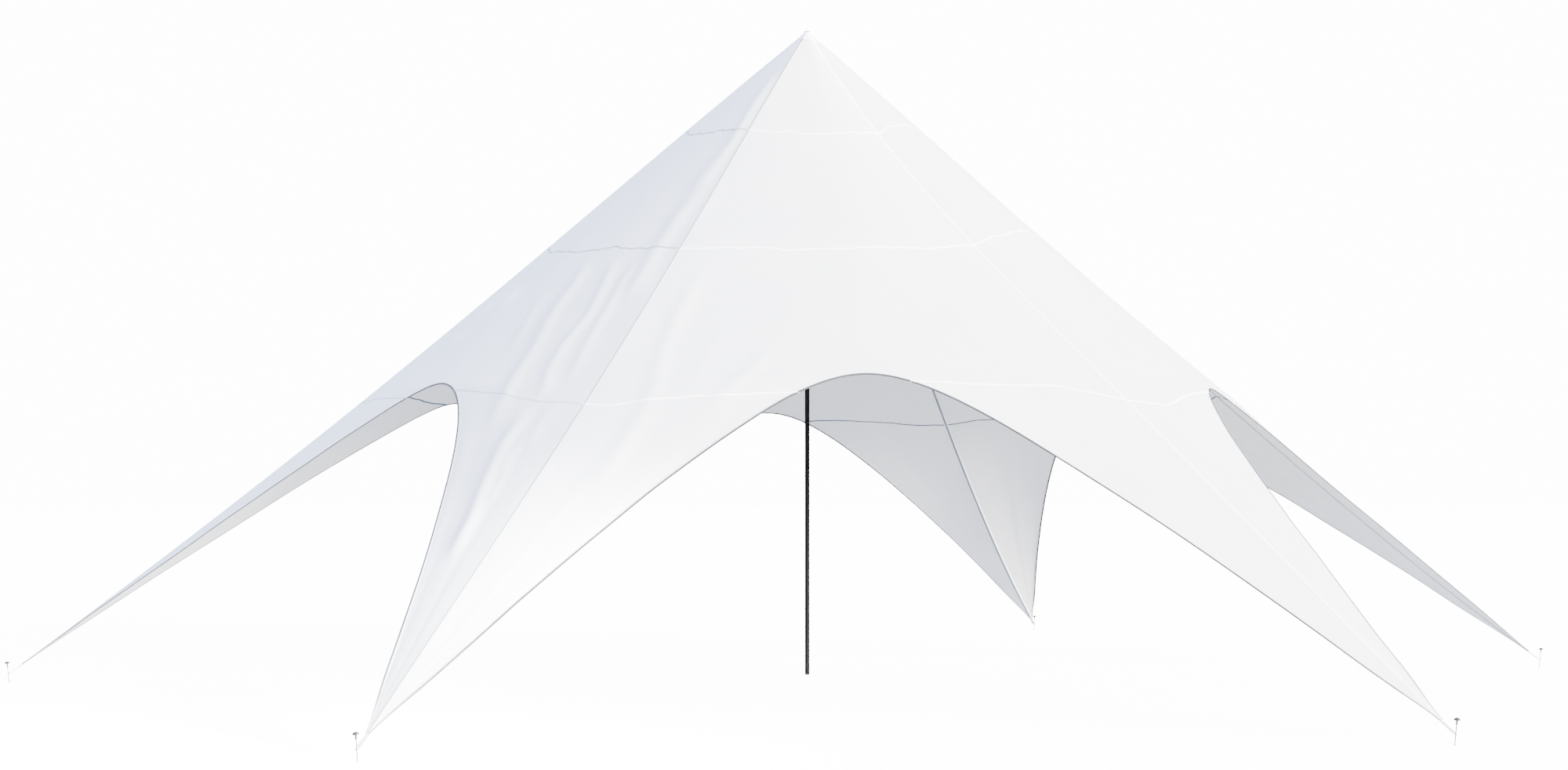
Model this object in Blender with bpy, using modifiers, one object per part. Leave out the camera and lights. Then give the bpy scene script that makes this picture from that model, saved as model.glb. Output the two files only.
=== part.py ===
"""Star tent: a white cloth canopy with six arms, on one mast, pitched on level ground.

Metres, +Z up. The origin is on the ground under the mast, and +X runs out along the right-hand arm.
Cloth and webbing are drawn a few millimetres thick, so that each piece is a solid.
"""
import math

import bmesh
import bpy
from mathutils import Matrix, Vector

# The tent as a whole
ARM_NAMES = ("right", "back_right", "back_left", "left", "front_left", "front_right")
GORE_NAMES = ("back_right", "back", "back_left", "front_left", "front", "front_right")
ARM_STEP = 2 * math.pi / len(ARM_NAMES)
HALF_STEP = ARM_STEP / 2
STAKE_CIRCLE_RADIUS = 7.0
APEX_HEIGHT = 5.85
STRAP_HEIGHT = 0.075
TOUCHING_GAP = 0.0003

# A ridge hangs below the straight line from apex to stake: its sag halfway out, how much more of
# it lies towards the stake, and how much more towards both ends. The slack differs from arm to arm.
RIDGE_SAGS = {
    "right": (0.115, 0.115, 0.0),
    "back_right": (0.32, 0.13, 0.0),
    "back_left": (0.165, 0.04, 0.0),
    "left": (0.104, 0.050, -0.054),
    "front_left": (0.126, 0.025, -0.086),
    "front_right": (0.21, -0.238, 0.155),
}

# The arch between two arms, symmetric about the gore's middle. Its top is rounded like a
# hyperbola's, and a share of a parabola bows its legs.
ARCH_TOP_RADIUS = 3.705
ARCH_TOP_HEIGHT = 2.523
ARCH_HALF_SPAN = STAKE_CIRCLE_RADIUS * math.sin(HALF_STEP)
ARCH_FOOT_RADIUS = STAKE_CIRCLE_RADIUS * math.cos(HALF_STEP)
ARCH_HEIGHT_ROUNDING = 0.60
ARCH_HEIGHT_BOW = 0.18
ARCH_PLAN_ROUNDING = 0.79
ARCH_PLAN_BOW = 0.18

# The cloth, laid out in rows that run from a gore's middle, or from the arch, to the ridge
CLOTH_DEPTH = 0.005
CLOTH_INNER_RADIUS = 0.030
MIDDLE_SAG = 0.05
SHOULDER_RADIUS = 3.90
RIDGE_ROW_PACE = 0.48
TOP_ROWS = 7
ARM_ROWS = 14
ARM_ROW_CROWDING = 1.4
CLOTH_COLUMNS = 4
TIP_FRACTION = 0.975

# Bands, hems and straps
WEBBING_HALF_WIDTH = 0.025
WEBBING_DEPTH = 0.003
HEM_RADIUS = 0.006
STRAP_THICKNESS = 0.0025
EYE_CLEARANCE = 0.0016
EYE_LENGTH = 0.035
SPLAY_DISTANCE = 0.045
SPLAY_HALF_WIDTH = 0.017
TAB_LENGTH = 0.10
TAB_HALF_WIDTH = 0.0125
TAB_SEATING = 0.7

# Stakes
STAKE_LEAN = math.radians(6)
SHAFT_RADIUS = 0.0035
SHAFT_TOP = 0.160
STEM_BOTTOM = 0.140
STEM_FOOT_RADIUS = 0.0075
STEM_RADIUS = 0.0058
DOME_BOTTOM = 0.168
DOME_TOP = 0.186
DOME_RADIUS = 0.0225
SOCKET_TOP = SHAFT_TOP + 0.002

# Mast: three tubes, each swaged at its upper end to plug into the next
MAST_RADIUS = 0.0212
MAST_WALL = 0.002
MAST_TOP = 5.836
MAST_FOOT_THICKNESS = 0.012
MAST_JOINTS = (1.95, 3.89)
SWAGE_LENGTH = 0.10
PLUG_LENGTH = 0.05
CAP_RADIUS = 0.025
CAP_THICKNESS = 0.014

# Collar that gathers the cloth round the mast
COLLAR_RADIUS = 0.031
COLLAR_TOP = 5.8355
COLLAR_SKIRT_RADIUS = 0.11
COLLAR_SKIRT_DEPTH = 0.003


def clear_scene():
    for thing in list(bpy.data.objects):
        bpy.data.objects.remove(thing, do_unlink=True)


def make_material(name, color, roughness, metallic=0.0):
    material = bpy.data.materials.new(name)
    material.use_nodes = True
    shader = material.node_tree.nodes["Principled BSDF"]
    shader.inputs["Base Color"].default_value = (*color, 1.0)
    shader.inputs["Roughness"].default_value = roughness
    shader.inputs["Metallic"].default_value = metallic
    material.diffuse_color = (*color, 1.0)
    return material


def place(name, mesh, collection, material, parent):
    """Link a mesh as one named piece, turned with its arm or gore."""
    mesh.materials.append(material)
    piece = bpy.data.objects.new(name, mesh)
    piece.parent = parent
    collection.objects.link(piece)
    return piece


def turning_empty(name, angle, collection):
    empty = bpy.data.objects.new(name, None)
    empty.rotation_euler = (0, 0, angle)
    collection.objects.link(empty)
    return empty


def ridge_height(arm, radius):
    """Height of an arm's ridge at a distance from the mast."""
    t = radius / STAKE_CIRCLE_RADIUS
    outward = 2 * t - 1
    halfway, lean, ends = RIDGE_SAGS[arm]
    straight = APEX_HEIGHT + (STRAP_HEIGHT - APEX_HEIGHT) * t
    return straight - (halfway + lean * outward + ends * outward ** 2) * 4 * t * (1 - t)


def arch_share(lateral, rounding, bow):
    """How far the arch has gone from its top, 0, to its foot, 1, at a distance from its middle."""
    here = math.hypot(lateral, rounding) - rounding
    foot = math.hypot(ARCH_HALF_SPAN, rounding) - rounding
    return (1 - bow) * here / foot + bow * (lateral / ARCH_HALF_SPAN) ** 2


def arch_point(lateral):
    """A point of the arch in the gore's frame, where +X runs out along the gore's middle."""
    out = arch_share(lateral, ARCH_PLAN_ROUNDING, ARCH_PLAN_BOW)
    down = arch_share(lateral, ARCH_HEIGHT_ROUNDING, ARCH_HEIGHT_BOW)
    x = ARCH_TOP_RADIUS + (ARCH_FOOT_RADIUS - ARCH_TOP_RADIUS) * out
    z = ARCH_TOP_HEIGHT + (STRAP_HEIGHT - ARCH_TOP_HEIGHT) * down
    return Vector((x, lateral, z))


def row_stations():
    """Rows of the cloth: 0 at the apex, 1 through the top of the arch, towards 2 at the stake."""
    first = CLOTH_INNER_RADIUS / SHOULDER_RADIUS
    top = [first + (1 - first) * i / TOP_ROWS for i in range(TOP_ROWS)]
    arm = [1 + TIP_FRACTION * (i / ARM_ROWS) ** ARM_ROW_CROWDING for i in range(ARM_ROWS + 1)]
    return top + arm


def ridge_radius(row):
    """Distance from the mast at which a row meets the ridge."""
    if row <= 1:
        return SHOULDER_RADIUS * row
    share = RIDGE_ROW_PACE * (row - 1) + (1 - RIDGE_ROW_PACE) * (row - 1) ** 2
    return SHOULDER_RADIUS + (STAKE_CIRCLE_RADIUS - SHOULDER_RADIUS) * share


def row_start(row):
    """Where a row starts: on the gore's middle line above the arch, and on the arch below it."""
    if row > 1:
        return arch_point(ARCH_HALF_SPAN * (row - 1))
    height = APEX_HEIGHT + (ARCH_TOP_HEIGHT - APEX_HEIGHT) * row - 4 * MIDDLE_SAG * row * (1 - row)
    return Vector((ARCH_TOP_RADIUS * row, 0, height))


def cloth_point(arm, row, across):
    """A point of half a gore, in the gore's frame with the arm towards +Y; across 1 is the ridge."""
    start = row_start(row)
    radius = ridge_radius(row)
    end = Vector((radius * math.cos(HALF_STEP), radius * math.sin(HALF_STEP), ridge_height(arm, radius)))
    straightness = max(0.0, row - 1)
    bulge = (1 - straightness) * across ** 2 + straightness * across
    x = start.x + (end.x - start.x) * bulge
    y = start.y + (end.y - start.y) * across
    z = start.z + (end.z - start.z) * bulge
    return Vector((x, y, z))


def distance_from_ridge(point):
    return point.x * math.sin(HALF_STEP) - point.y * math.cos(HALF_STEP)


def webbing_edge(arm, row):
    """The fraction across a row at which the ridge webbing's edge lies."""
    wanted = min(WEBBING_HALF_WIDTH, distance_from_ridge(row_start(row)) / 2)
    low, high = 0.0, 1.0
    for _ in range(40):
        middle = (low + high) / 2
        if distance_from_ridge(cloth_point(arm, row, middle)) > wanted:
            low = middle
        else:
            high = middle
    return low


def lay_sheet(columns, rows, where):
    """A sheet of triangles; where(column, row) gives each point's place."""
    sheet = bmesh.new()
    bmesh.ops.create_grid(sheet, x_segments=columns, y_segments=rows, size=0.5)
    for vert in sheet.verts:
        column = round((vert.co.x + 0.5) * columns)
        row = round((vert.co.y + 0.5) * rows)
        vert.co = where(column, row)
    return sheet


def thicken(sheet, depth):
    """Close a sheet into a solid that reaches straight down by the depth given."""
    bmesh.ops.remove_doubles(sheet, verts=sheet.verts, dist=0.00005)
    bmesh.ops.triangulate(sheet, faces=sheet.faces, quad_method="SHORT_EDGE")
    lower = bmesh.ops.extrude_face_region(sheet, geom=list(sheet.faces), use_keep_orig=True)
    moved = [part for part in lower["geom"] if isinstance(part, bmesh.types.BMVert)]
    bmesh.ops.translate(sheet, verts=moved, vec=(0, 0, -depth))
    bmesh.ops.recalc_face_normals(sheet, faces=sheet.faces)


def finish_mesh(name, solid):
    mesh = bpy.data.meshes.new(name)
    solid.to_mesh(mesh)
    solid.free()
    return mesh


def half_gore(arm, side):
    """Half of a gore, between its middle and one arm, which lies towards +Y when side is 1."""
    stations = row_stations()
    clear = Vector((math.sin(HALF_STEP), -math.cos(HALF_STEP), 0)) * (TOUCHING_GAP / 2)

    def where(column, row):
        station = stations[row]
        across = 1.0
        if column < CLOTH_COLUMNS:
            across = webbing_edge(arm, station) * column / (CLOTH_COLUMNS - 1)
        point = cloth_point(arm, station, across)
        if column == CLOTH_COLUMNS:
            point += clear
        return Vector((point.x, side * point.y, point.z))

    return lay_sheet(CLOTH_COLUMNS, len(stations) - 1, where)


def make_gore(index, collection, material, parent):
    whole = half_gore(ARM_NAMES[index], -1)
    other = half_gore(ARM_NAMES[(index + 1) % len(ARM_NAMES)], 1)
    spare = bpy.data.meshes.new("other_half")
    other.to_mesh(spare)
    other.free()
    whole.from_mesh(spare)
    bpy.data.meshes.remove(spare)
    thicken(whole, CLOTH_DEPTH)
    name = "canopy_gore_" + GORE_NAMES[index]
    return place(name, finish_mesh(name, whole), collection, material, parent)


def make_webbing(index, collection, material, parent):
    """The band under a ridge, in the arm's frame, where +X runs out along the arm."""
    arm = ARM_NAMES[index]
    stations = row_stations()
    drop = CLOTH_DEPTH + TOUCHING_GAP

    def where(column, row):
        station = stations[row]
        side = 1 - column
        across = webbing_edge(arm, station) if side else 1.0
        point = cloth_point(arm, station, across)
        turned = Matrix.Rotation(-HALF_STEP, 3, "Z") @ point
        return Vector((turned.x, -side * turned.y, turned.z - drop))

    sheet = lay_sheet(2, len(stations) - 1, where)
    thicken(sheet, WEBBING_DEPTH)
    name = "ridge_webbing_" + arm
    return place(name, finish_mesh(name, sheet), collection, material, parent)


def arch_laterals():
    """Distances from the arch's middle at which its edge turns, from one arm to the other."""
    half = [ARCH_HALF_SPAN * (row - 1) for row in row_stations() if row >= 1]
    return [-lateral for lateral in reversed(half[1:])] + half


def signed_arch_point(lateral):
    point = arch_point(abs(lateral))
    point.y = lateral
    return point


def hem_route():
    """The corded hem's middle line, level with the cloth's edge and just outside it."""
    points = [signed_arch_point(lateral) for lateral in arch_laterals()]
    route = []
    for i, point in enumerate(points):
        before = points[max(i - 1, 0)]
        after = points[min(i + 1, len(points) - 1)]
        outward = Vector((after.y - before.y, before.x - after.x, 0)).normalized()
        step = outward * (HEM_RADIUS + 2 * TOUCHING_GAP)
        route.append(point + step - Vector((0, 0, CLOTH_DEPTH / 2)))
    return route


def make_hem(index, collection, material, parent):
    name = "arch_hem_" + GORE_NAMES[index]
    curve = bpy.data.curves.new(name, "CURVE")
    curve.dimensions = "3D"
    curve.bevel_depth = HEM_RADIUS
    curve.bevel_resolution = 2
    curve.use_fill_caps = True
    route = hem_route()
    spline = curve.splines.new("POLY")
    spline.points.add(len(route) - 1)
    for point, place_of_point in zip(spline.points, route):
        point.co = (*place_of_point, 1)
    curve.materials.append(material)
    piece = bpy.data.objects.new(name, curve)
    piece.parent = parent
    collection.objects.link(piece)
    return piece


def webbing_underside(arm, lateral):
    """Height of the webbing's underside at the arm's tip, at a distance to either side of the ridge."""
    row = 1 + TIP_FRACTION
    edge = cloth_point(arm, row, webbing_edge(arm, row))
    ridge = ridge_height(arm, ridge_radius(row))
    height = ridge + (edge.z - ridge) * lateral / distance_from_ridge(edge)
    return height - CLOTH_DEPTH - TOUCHING_GAP - WEBBING_DEPTH


def strap_outlines(reach):
    """The strap's outline and its eye, with the stake at the origin and the tent towards -X."""
    eye = SHAFT_RADIUS + EYE_CLEARANCE
    end = eye + STRAP_THICKNESS
    outer = [(-reach - TAB_LENGTH, -TAB_HALF_WIDTH), (-reach, -TAB_HALF_WIDTH),
             (-SPLAY_DISTANCE, -SPLAY_HALF_WIDTH)]
    inner = [(-EYE_LENGTH, 0)]
    for i in range(9):
        angle = math.pi * (i / 8 - 0.5)
        outer.append((end * math.cos(angle), end * math.sin(angle)))
        inner.append((eye * math.cos(angle), eye * math.sin(angle)))
    outer += [(-SPLAY_DISTANCE, SPLAY_HALF_WIDTH), (-reach, TAB_HALF_WIDTH),
              (-reach - TAB_LENGTH, TAB_HALF_WIDTH)]
    return outer, inner


def make_strap(index, collection, material, parent):
    """A tab sewn under the webbing's end, splayed again before the eye that goes round the stake."""
    arm = ARM_NAMES[index]
    run = STAKE_CIRCLE_RADIUS - ridge_radius(1 + TIP_FRACTION)
    under = min(webbing_underside(arm, 0), webbing_underside(arm, TAB_HALF_WIDTH))
    rise = under - STRAP_THICKNESS * TAB_SEATING - STRAP_HEIGHT
    name = "corner_strap_" + arm
    curve = bpy.data.curves.new(name, "CURVE")
    curve.dimensions = "2D"
    curve.fill_mode = "BOTH"
    curve.extrude = STRAP_THICKNESS / 2
    for outline in strap_outlines(math.hypot(run, rise)):
        spline = curve.splines.new("POLY")
        spline.points.add(len(outline) - 1)
        spline.use_cyclic_u = True
        for point, (x, y) in zip(spline.points, outline):
            point.co = (x, y, 0, 1)
    curve.materials.append(material)
    piece = bpy.data.objects.new(name, curve)
    piece.parent = parent
    piece.location = (STAKE_CIRCLE_RADIUS, 0, STRAP_HEIGHT)
    piece.rotation_euler = (0, math.atan2(rise, run), 0)
    collection.objects.link(piece)
    return piece


def make_shaft(index, collection, material, parent):
    """A thin steel rod that leans out from the tent, cut level with the ground."""
    name = "stake_shaft_" + ARM_NAMES[index]
    rod = bmesh.new()
    bmesh.ops.create_cone(rod, cap_ends=True, segments=12, radius1=SHAFT_RADIUS,
                          radius2=SHAFT_RADIUS, depth=SHAFT_TOP)
    for vert in rod.verts:
        vert.co.z += SHAFT_TOP / 2
        vert.co.x += STAKE_CIRCLE_RADIUS + math.tan(STAKE_LEAN) * (vert.co.z - STRAP_HEIGHT)
    return place(name, finish_mesh(name, rod), collection, material, parent)


def turned_piece(name, profile, collection, material, parent=None, closed=False, sides=24):
    """A piece turned about Z from a profile that runs down its outer side."""
    mesh = bpy.data.meshes.new(name)
    edges = [(i, i + 1) for i in range(len(profile) - 1)]
    if closed:
        edges.append((len(profile) - 1, 0))
    mesh.from_pydata([(radius, 0, height) for radius, height in profile], edges, [])
    piece = place(name, mesh, collection, material, parent)
    screw = piece.modifiers.new("turn", "SCREW")
    screw.angle = 2 * math.pi
    screw.steps = sides
    screw.render_steps = sides
    screw.use_merge_vertices = True
    screw.merge_threshold = 0.00001
    return piece


def make_stake_head(index, collection, material, parent):
    """A mushroom head on a short stem, with a socket for the rod."""
    socket = SHAFT_RADIUS + TOUCHING_GAP
    profile = [(0, DOME_TOP)]
    for i in range(1, 5):
        angle = math.pi / 2 * i / 4
        height = DOME_BOTTOM + (DOME_TOP - DOME_BOTTOM) * (0.2 + 0.8 * math.cos(angle))
        profile.append((DOME_RADIUS * math.sin(angle), height))
    profile += [(DOME_RADIUS * 0.94, DOME_BOTTOM), (STEM_RADIUS, DOME_BOTTOM),
                (STEM_FOOT_RADIUS, STEM_BOTTOM), (socket, STEM_BOTTOM),
                (socket, SOCKET_TOP), (0, SOCKET_TOP)]
    down = [(radius, height - STRAP_HEIGHT) for radius, height in profile]
    piece = turned_piece("stake_head_" + ARM_NAMES[index], down, collection, material, parent, sides=12)
    piece.location = (STAKE_CIRCLE_RADIUS, 0, STRAP_HEIGHT)
    piece.rotation_euler = (0, STAKE_LEAN, 0)
    return piece


def mast_tube(name, bottom, top, swaged, collection, material):
    """One tube of the mast, with a narrower end that plugs into the tube above."""
    bore = MAST_RADIUS - MAST_WALL
    neck = bore - TOUCHING_GAP
    profile = [(MAST_RADIUS, top), (MAST_RADIUS, bottom), (bore, bottom), (bore, top)]
    if swaged:
        shoulder = top - MAST_WALL
        profile = [(neck, top + SWAGE_LENGTH), (neck, top), (MAST_RADIUS, top),
                   (MAST_RADIUS, bottom), (bore, bottom), (bore, shoulder),
                   (neck - MAST_WALL, shoulder), (neck - MAST_WALL, top + SWAGE_LENGTH)]
    return turned_piece(name, profile, collection, material, closed=True)


def make_mast(collection, black):
    lower_joint, upper_joint = MAST_JOINTS
    bottom = MAST_FOOT_THICKNESS + TOUCHING_GAP
    mast_tube("mast_lower_tube", bottom, lower_joint, True, collection, black)
    mast_tube("mast_middle_tube", lower_joint + TOUCHING_GAP, upper_joint, True, collection, black)
    mast_tube("mast_upper_tube", upper_joint + TOUCHING_GAP, MAST_TOP, False, collection, black)


def make_mast_foot(collection, rubber):
    plug = MAST_RADIUS - MAST_WALL - TOUCHING_GAP
    profile = [(0, MAST_FOOT_THICKNESS + PLUG_LENGTH), (plug, MAST_FOOT_THICKNESS + PLUG_LENGTH),
               (plug, MAST_FOOT_THICKNESS), (MAST_RADIUS, MAST_FOOT_THICKNESS), (MAST_RADIUS, 0), (0, 0)]
    turned_piece("mast_foot", profile, collection, rubber)


def make_mast_cap(collection, grey):
    plug = MAST_RADIUS - MAST_WALL - TOUCHING_GAP
    seat = MAST_TOP + TOUCHING_GAP
    edge = 0.002
    profile = [(0, seat + CAP_THICKNESS), (CAP_RADIUS - edge, seat + CAP_THICKNESS),
               (CAP_RADIUS, seat + CAP_THICKNESS - edge), (CAP_RADIUS, seat), (plug, seat),
               (plug, seat - PLUG_LENGTH), (0, seat - PLUG_LENGTH)]
    turned_piece("mast_cap", profile, collection, grey)


def make_collar(collection, white):
    """A sleeve round the mast with a skirt that lies on the cloth."""
    bore = MAST_RADIUS + TOUCHING_GAP
    fall = (APEX_HEIGHT - STRAP_HEIGHT) / STAKE_CIRCLE_RADIUS
    under_bore = APEX_HEIGHT + TOUCHING_GAP - fall * bore
    under_edge = APEX_HEIGHT + TOUCHING_GAP - fall * COLLAR_SKIRT_RADIUS
    on_sleeve = APEX_HEIGHT + TOUCHING_GAP + COLLAR_SKIRT_DEPTH - fall * COLLAR_RADIUS
    profile = [(COLLAR_RADIUS * 0.85, COLLAR_TOP), (COLLAR_RADIUS, COLLAR_TOP - 0.006),
               (COLLAR_RADIUS, on_sleeve), (COLLAR_SKIRT_RADIUS, under_edge + COLLAR_SKIRT_DEPTH),
               (COLLAR_SKIRT_RADIUS, under_edge), (bore, under_bore), (bore, COLLAR_TOP)]
    turned_piece("apex_collar", profile, collection, white, closed=True)


def build():
    clear_scene()
    collection = bpy.data.collections.new("star_tent")
    bpy.context.scene.collection.children.link(collection)

    cloth = make_material("canopy_cloth", (0.80, 0.80, 0.81), 0.75)
    hem = make_material("hem_cloth", (0.20, 0.205, 0.215), 0.8)
    webbing = make_material("white_webbing", (0.85, 0.85, 0.86), 0.8)
    steel = make_material("stake_steel", (0.55, 0.56, 0.58), 0.35, 1.0)
    black_plastic = make_material("black_plastic", (0.01, 0.01, 0.01), 0.45)
    black_paint = make_material("black_paint", (0.01, 0.01, 0.01), 0.4)
    rubber = make_material("foot_rubber", (0.012, 0.012, 0.012), 0.8)
    grey = make_material("cap_plastic", (0.35, 0.36, 0.38), 0.5)

    for index, arm in enumerate(ARM_NAMES):
        parent = turning_empty("arm_place_" + arm, ARM_STEP * index, collection)
        make_webbing(index, collection, webbing, parent)
        make_strap(index, collection, webbing, parent)
        make_shaft(index, collection, steel, parent)
        make_stake_head(index, collection, black_plastic, parent)
    for index, gore in enumerate(GORE_NAMES):
        parent = turning_empty("gore_place_" + gore, ARM_STEP * index + HALF_STEP, collection)
        make_gore(index, collection, cloth, parent)
        make_hem(index, collection, hem, parent)
    make_mast(collection, black_paint)
    make_mast_foot(collection, rubber)
    make_mast_cap(collection, grey)
    make_collar(collection, webbing)
    bpy.context.view_layer.update()


build()
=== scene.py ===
import math

import bmesh
import bpy
import numpy as np
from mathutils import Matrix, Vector


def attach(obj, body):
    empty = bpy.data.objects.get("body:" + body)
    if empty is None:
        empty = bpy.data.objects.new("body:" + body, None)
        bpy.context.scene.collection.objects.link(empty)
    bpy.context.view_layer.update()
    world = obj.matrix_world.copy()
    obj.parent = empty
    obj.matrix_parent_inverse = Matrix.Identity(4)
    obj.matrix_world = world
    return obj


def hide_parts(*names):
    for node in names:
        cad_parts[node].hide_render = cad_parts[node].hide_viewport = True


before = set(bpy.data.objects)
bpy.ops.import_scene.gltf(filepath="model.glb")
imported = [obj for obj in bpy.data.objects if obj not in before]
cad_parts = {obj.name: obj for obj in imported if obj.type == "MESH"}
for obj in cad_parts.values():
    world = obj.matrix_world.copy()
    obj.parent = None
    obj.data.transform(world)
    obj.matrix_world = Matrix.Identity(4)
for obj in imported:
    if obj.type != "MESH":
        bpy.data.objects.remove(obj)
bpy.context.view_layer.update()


# Camera. It stands before the tent, a little to its left, at eye height, and looks level, so the
# mast stays upright. The shift sets the horizon below the middle.
EYE_HEIGHT = 1.609
CAMERA_PLACE = (-2.351, -19.371)
CAMERA_TURN = math.radians(-6.92)
SENSOR_WIDTH = 36
LENS_LENGTH = 49.28
LENS_SHIFT = (-0.0148, 0.0719)
LENS_REACH = 600


def add_object(name, data):
    """A new object in the scene, with its camera, lamp or mesh."""
    thing = bpy.data.objects.new(name, data)
    bpy.context.scene.collection.objects.link(thing)
    return thing


lens = bpy.data.cameras.new("eye_level_camera")
lens.sensor_width = SENSOR_WIDTH
lens.lens = LENS_LENGTH
lens.shift_x, lens.shift_y = LENS_SHIFT
lens.clip_end = LENS_REACH
camera = add_object("eye_level_camera", lens)
camera.location = (*CAMERA_PLACE, EYE_HEIGHT)
camera.rotation_euler = (math.radians(90), 0, CAMERA_TURN)
bpy.context.scene.camera = camera


# Studio. A pale floor that runs out to a white surround, one broad warm key light low on the
# right in front, a cool fill from all round that greys the shaded side of the cloth, a weak cool
# light behind, and a soft lamp high in front that brightens one side of the front left arm.
FLOOR_RADIUS = 260
FLOOR_SIDES = 96
FLOOR_COLOUR = (0.50, 0.485, 0.455, 1)
FLOOR_GLOW = 12.4
SURROUND_GLOW = 14.5
FILL_COLOUR = (0.58, 0.69, 1.0, 1)
FILL_STRENGTH = 4.1
KEY_COLOUR = (1.0, 0.955, 0.86)
KEY_STRENGTH = 41.3
KEY_AZIMUTH = math.radians(-47)
KEY_ELEVATION = math.radians(12)
KEY_SPREAD = math.radians(28)
REAR_STRENGTH = 5.8
REAR_AZIMUTH = math.radians(120)
REAR_ELEVATION = math.radians(35)
REAR_SPREAD = math.radians(45)
LAMP_PLACE = (2.6, -8.2, 4.1)
LAMP_AIM = (-3.2, -5.4, 0.6)
LAMP_POWER = 43000
LAMP_CONE = math.radians(36)
LAMP_RADIUS = 0.7


def is_socket(value):
    return isinstance(value, bpy.types.NodeSocket)


def feed(socket, value):
    """Link a socket to another node's socket, or give it a plain value."""
    if is_socket(value):
        socket.id_data.links.new(value, socket)
    else:
        socket.default_value = value


def set_node(node, *values, **settings):
    """Feed a node's sockets, in their order or by a name with a capital, and set its options."""
    for socket, value in zip(node.inputs, values):
        feed(socket, value)
    for name, value in settings.items():
        if name[0].isupper():
            feed(node.inputs[name.replace("_", " ")], value)
        else:
            setattr(node, name, value)
    return node


def add_node(kind, *values, tree=None, **settings):
    """A new node, in the tree that is given or in that of a socket that feeds it."""
    if tree is None:
        tree = next(value.id_data for value in (*values, *settings.values()) if is_socket(value))
    return set_node(tree.nodes.new("ShaderNode" + kind), *values, **settings)


def math_node(operation, *values):
    return add_node("Math", *values, operation=operation).outputs[0]


def product(first, second):
    return math_node("MULTIPLY", first, second)


def bare_tree(owner):
    """The node tree of a new material or world, emptied."""
    owner.use_nodes = True
    owner.node_tree.nodes.clear()
    return owner.node_tree


def made_mesh(name, shape):
    """A mesh from a finished bmesh, which is let go."""
    mesh = bpy.data.meshes.new(name)
    shape.to_mesh(mesh)
    shape.free()
    return mesh


surround = bpy.data.worlds.new("white_surround")
tree = bare_tree(surround)
cool_fill = add_node("Background", tree=tree, Color=FILL_COLOUR, Strength=FILL_STRENGTH)
white_card = add_node("Background", tree=tree, Color=(1, 1, 1, 1), Strength=SURROUND_GLOW)
seen = add_node("LightPath", tree=tree).outputs["Is Camera Ray"]
either = add_node("MixShader", seen, cool_fill.outputs[0], white_card.outputs[0])
add_node("OutputWorld", either.outputs[0])
bpy.context.scene.world = surround

floor_paint = bpy.data.materials.new("pale_floor")
tree = bare_tree(floor_paint)
matt = add_node("BsdfDiffuse", tree=tree, Color=FLOOR_COLOUR)
seen = add_node("LightPath", tree=tree).outputs["Is Camera Ray"]
lit = add_node("Emission", Color=(1, 1, 1, 1), Strength=product(seen, FLOOR_GLOW))
both = add_node("AddShader", matt.outputs[0], lit.outputs[0])
add_node("OutputMaterial", both.outputs[0])

disc = bmesh.new()
bmesh.ops.create_circle(disc, cap_ends=True, segments=FLOOR_SIDES, radius=FLOOR_RADIUS)
floor_mesh = made_mesh("studio_floor", disc)
floor_mesh.materials.append(floor_paint)
floor = add_object("studio_floor", floor_mesh)

for light_name, strength, tint, azimuth, elevation, spread in (
        ("key_light", KEY_STRENGTH, KEY_COLOUR, KEY_AZIMUTH, KEY_ELEVATION, KEY_SPREAD),
        ("rear_light", REAR_STRENGTH, FILL_COLOUR[:3], REAR_AZIMUTH, REAR_ELEVATION, REAR_SPREAD)):
    distant = bpy.data.lights.new(light_name, "SUN")
    distant.energy = strength
    distant.color = tint
    distant.angle = spread
    holder = add_object(light_name, distant)
    holder.rotation_euler = (math.radians(90) - elevation, 0, math.radians(90) + azimuth)

lamp = bpy.data.lights.new("arm_lamp", "SPOT")
lamp.energy = LAMP_POWER
lamp.spot_size = LAMP_CONE
lamp.spot_blend = 1.0
lamp.shadow_soft_size = LAMP_RADIUS
arm_lamp = add_object("arm_lamp", lamp)
arm_lamp.location = LAMP_PLACE
arm_lamp.rotation_euler = (Vector(LAMP_AIM) - Vector(LAMP_PLACE)).to_track_quat("-Z", "Y").to_euler()
arm_lamp.visible_camera = False


# Canopy cloth. Six gores of plain-woven white polyester, coated on the inside, each sewn from
# panels between two ridges. The last panels, below the lowest ring seam, run out along the arms.
# The cloth is drawn tight from the mast's top to the stakes and wrinkles where it is slack.
ARMS = ("right", "back_right", "back_left", "left", "front_left", "front_right")
GORES = ("back_right", "back", "back_left", "front_left", "front", "front_right")
STAKE_CIRCLE = 7.0
APEX_HEIGHT = 5.85
STRAP_HEIGHT = 0.075
RIDGE_SAGS = {"right": (0.115, 0.115, 0.0), "back_right": (0.32, 0.13, 0.0),
              "back_left": (0.165, 0.04, 0.0), "left": (0.104, 0.050, -0.054),
              "front_left": (0.126, 0.025, -0.086), "front_right": (0.21, -0.238, 0.155)}
ARCH_TOP_RADIUS = 3.705
ARCH_TOP_HEIGHT = 2.523
HALF_STEP = math.radians(30)
ARCH_HALF_SPAN = STAKE_CIRCLE * math.sin(HALF_STEP)
ARCH_FOOT_RADIUS = STAKE_CIRCLE * math.cos(HALF_STEP)
ARCH_PLAN_ROUNDING = 0.79
ARCH_HEIGHT_ROUNDING = 0.60
ARCH_BOW = 0.18
MIDDLE_SAG = 0.05
SHOULDER_RADIUS = 3.90
SHOULDER_STEP = 0.0225
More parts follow.
